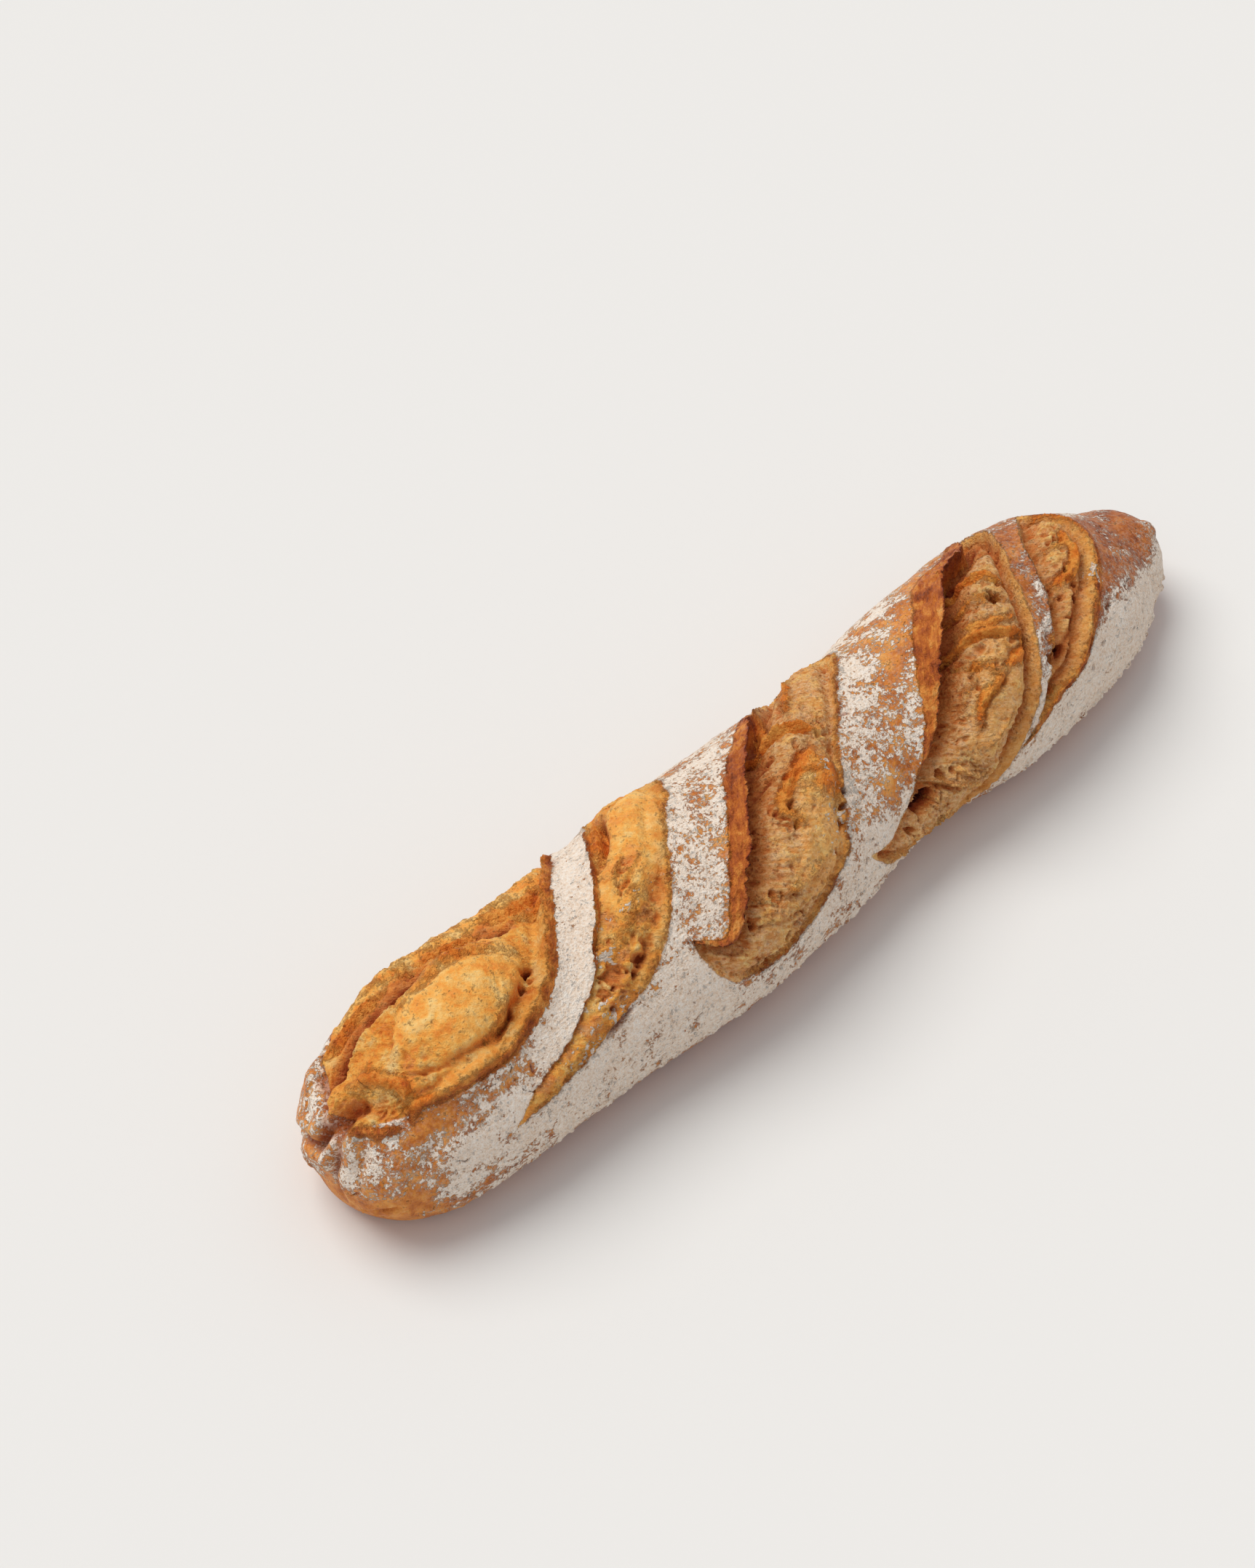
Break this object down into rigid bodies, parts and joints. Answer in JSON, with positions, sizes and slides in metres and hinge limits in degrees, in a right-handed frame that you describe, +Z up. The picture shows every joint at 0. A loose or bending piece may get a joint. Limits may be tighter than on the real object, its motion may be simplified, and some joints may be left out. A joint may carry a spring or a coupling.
{
  "type": "baguette",
  "caption": "Rustic slashed baguette with a floury crust, raised ears and open golden crumb, lying on its flat underside.",
  "frame": {"origin": "under the middle of the loaf, on the plane it lies on", "axes": "+X along the loaf from its blunt end to its tapered end, +Z up, -Y the side with the low ends of the slashes"},
  "size_m": [0.38, 0.0816, 0.0632],
  "materials": {
    "crust": "baked crust, dusted with flour"
  },
  "bodies": {
    "root": {"loaf": "crust"}
  },
  "joints": []
}
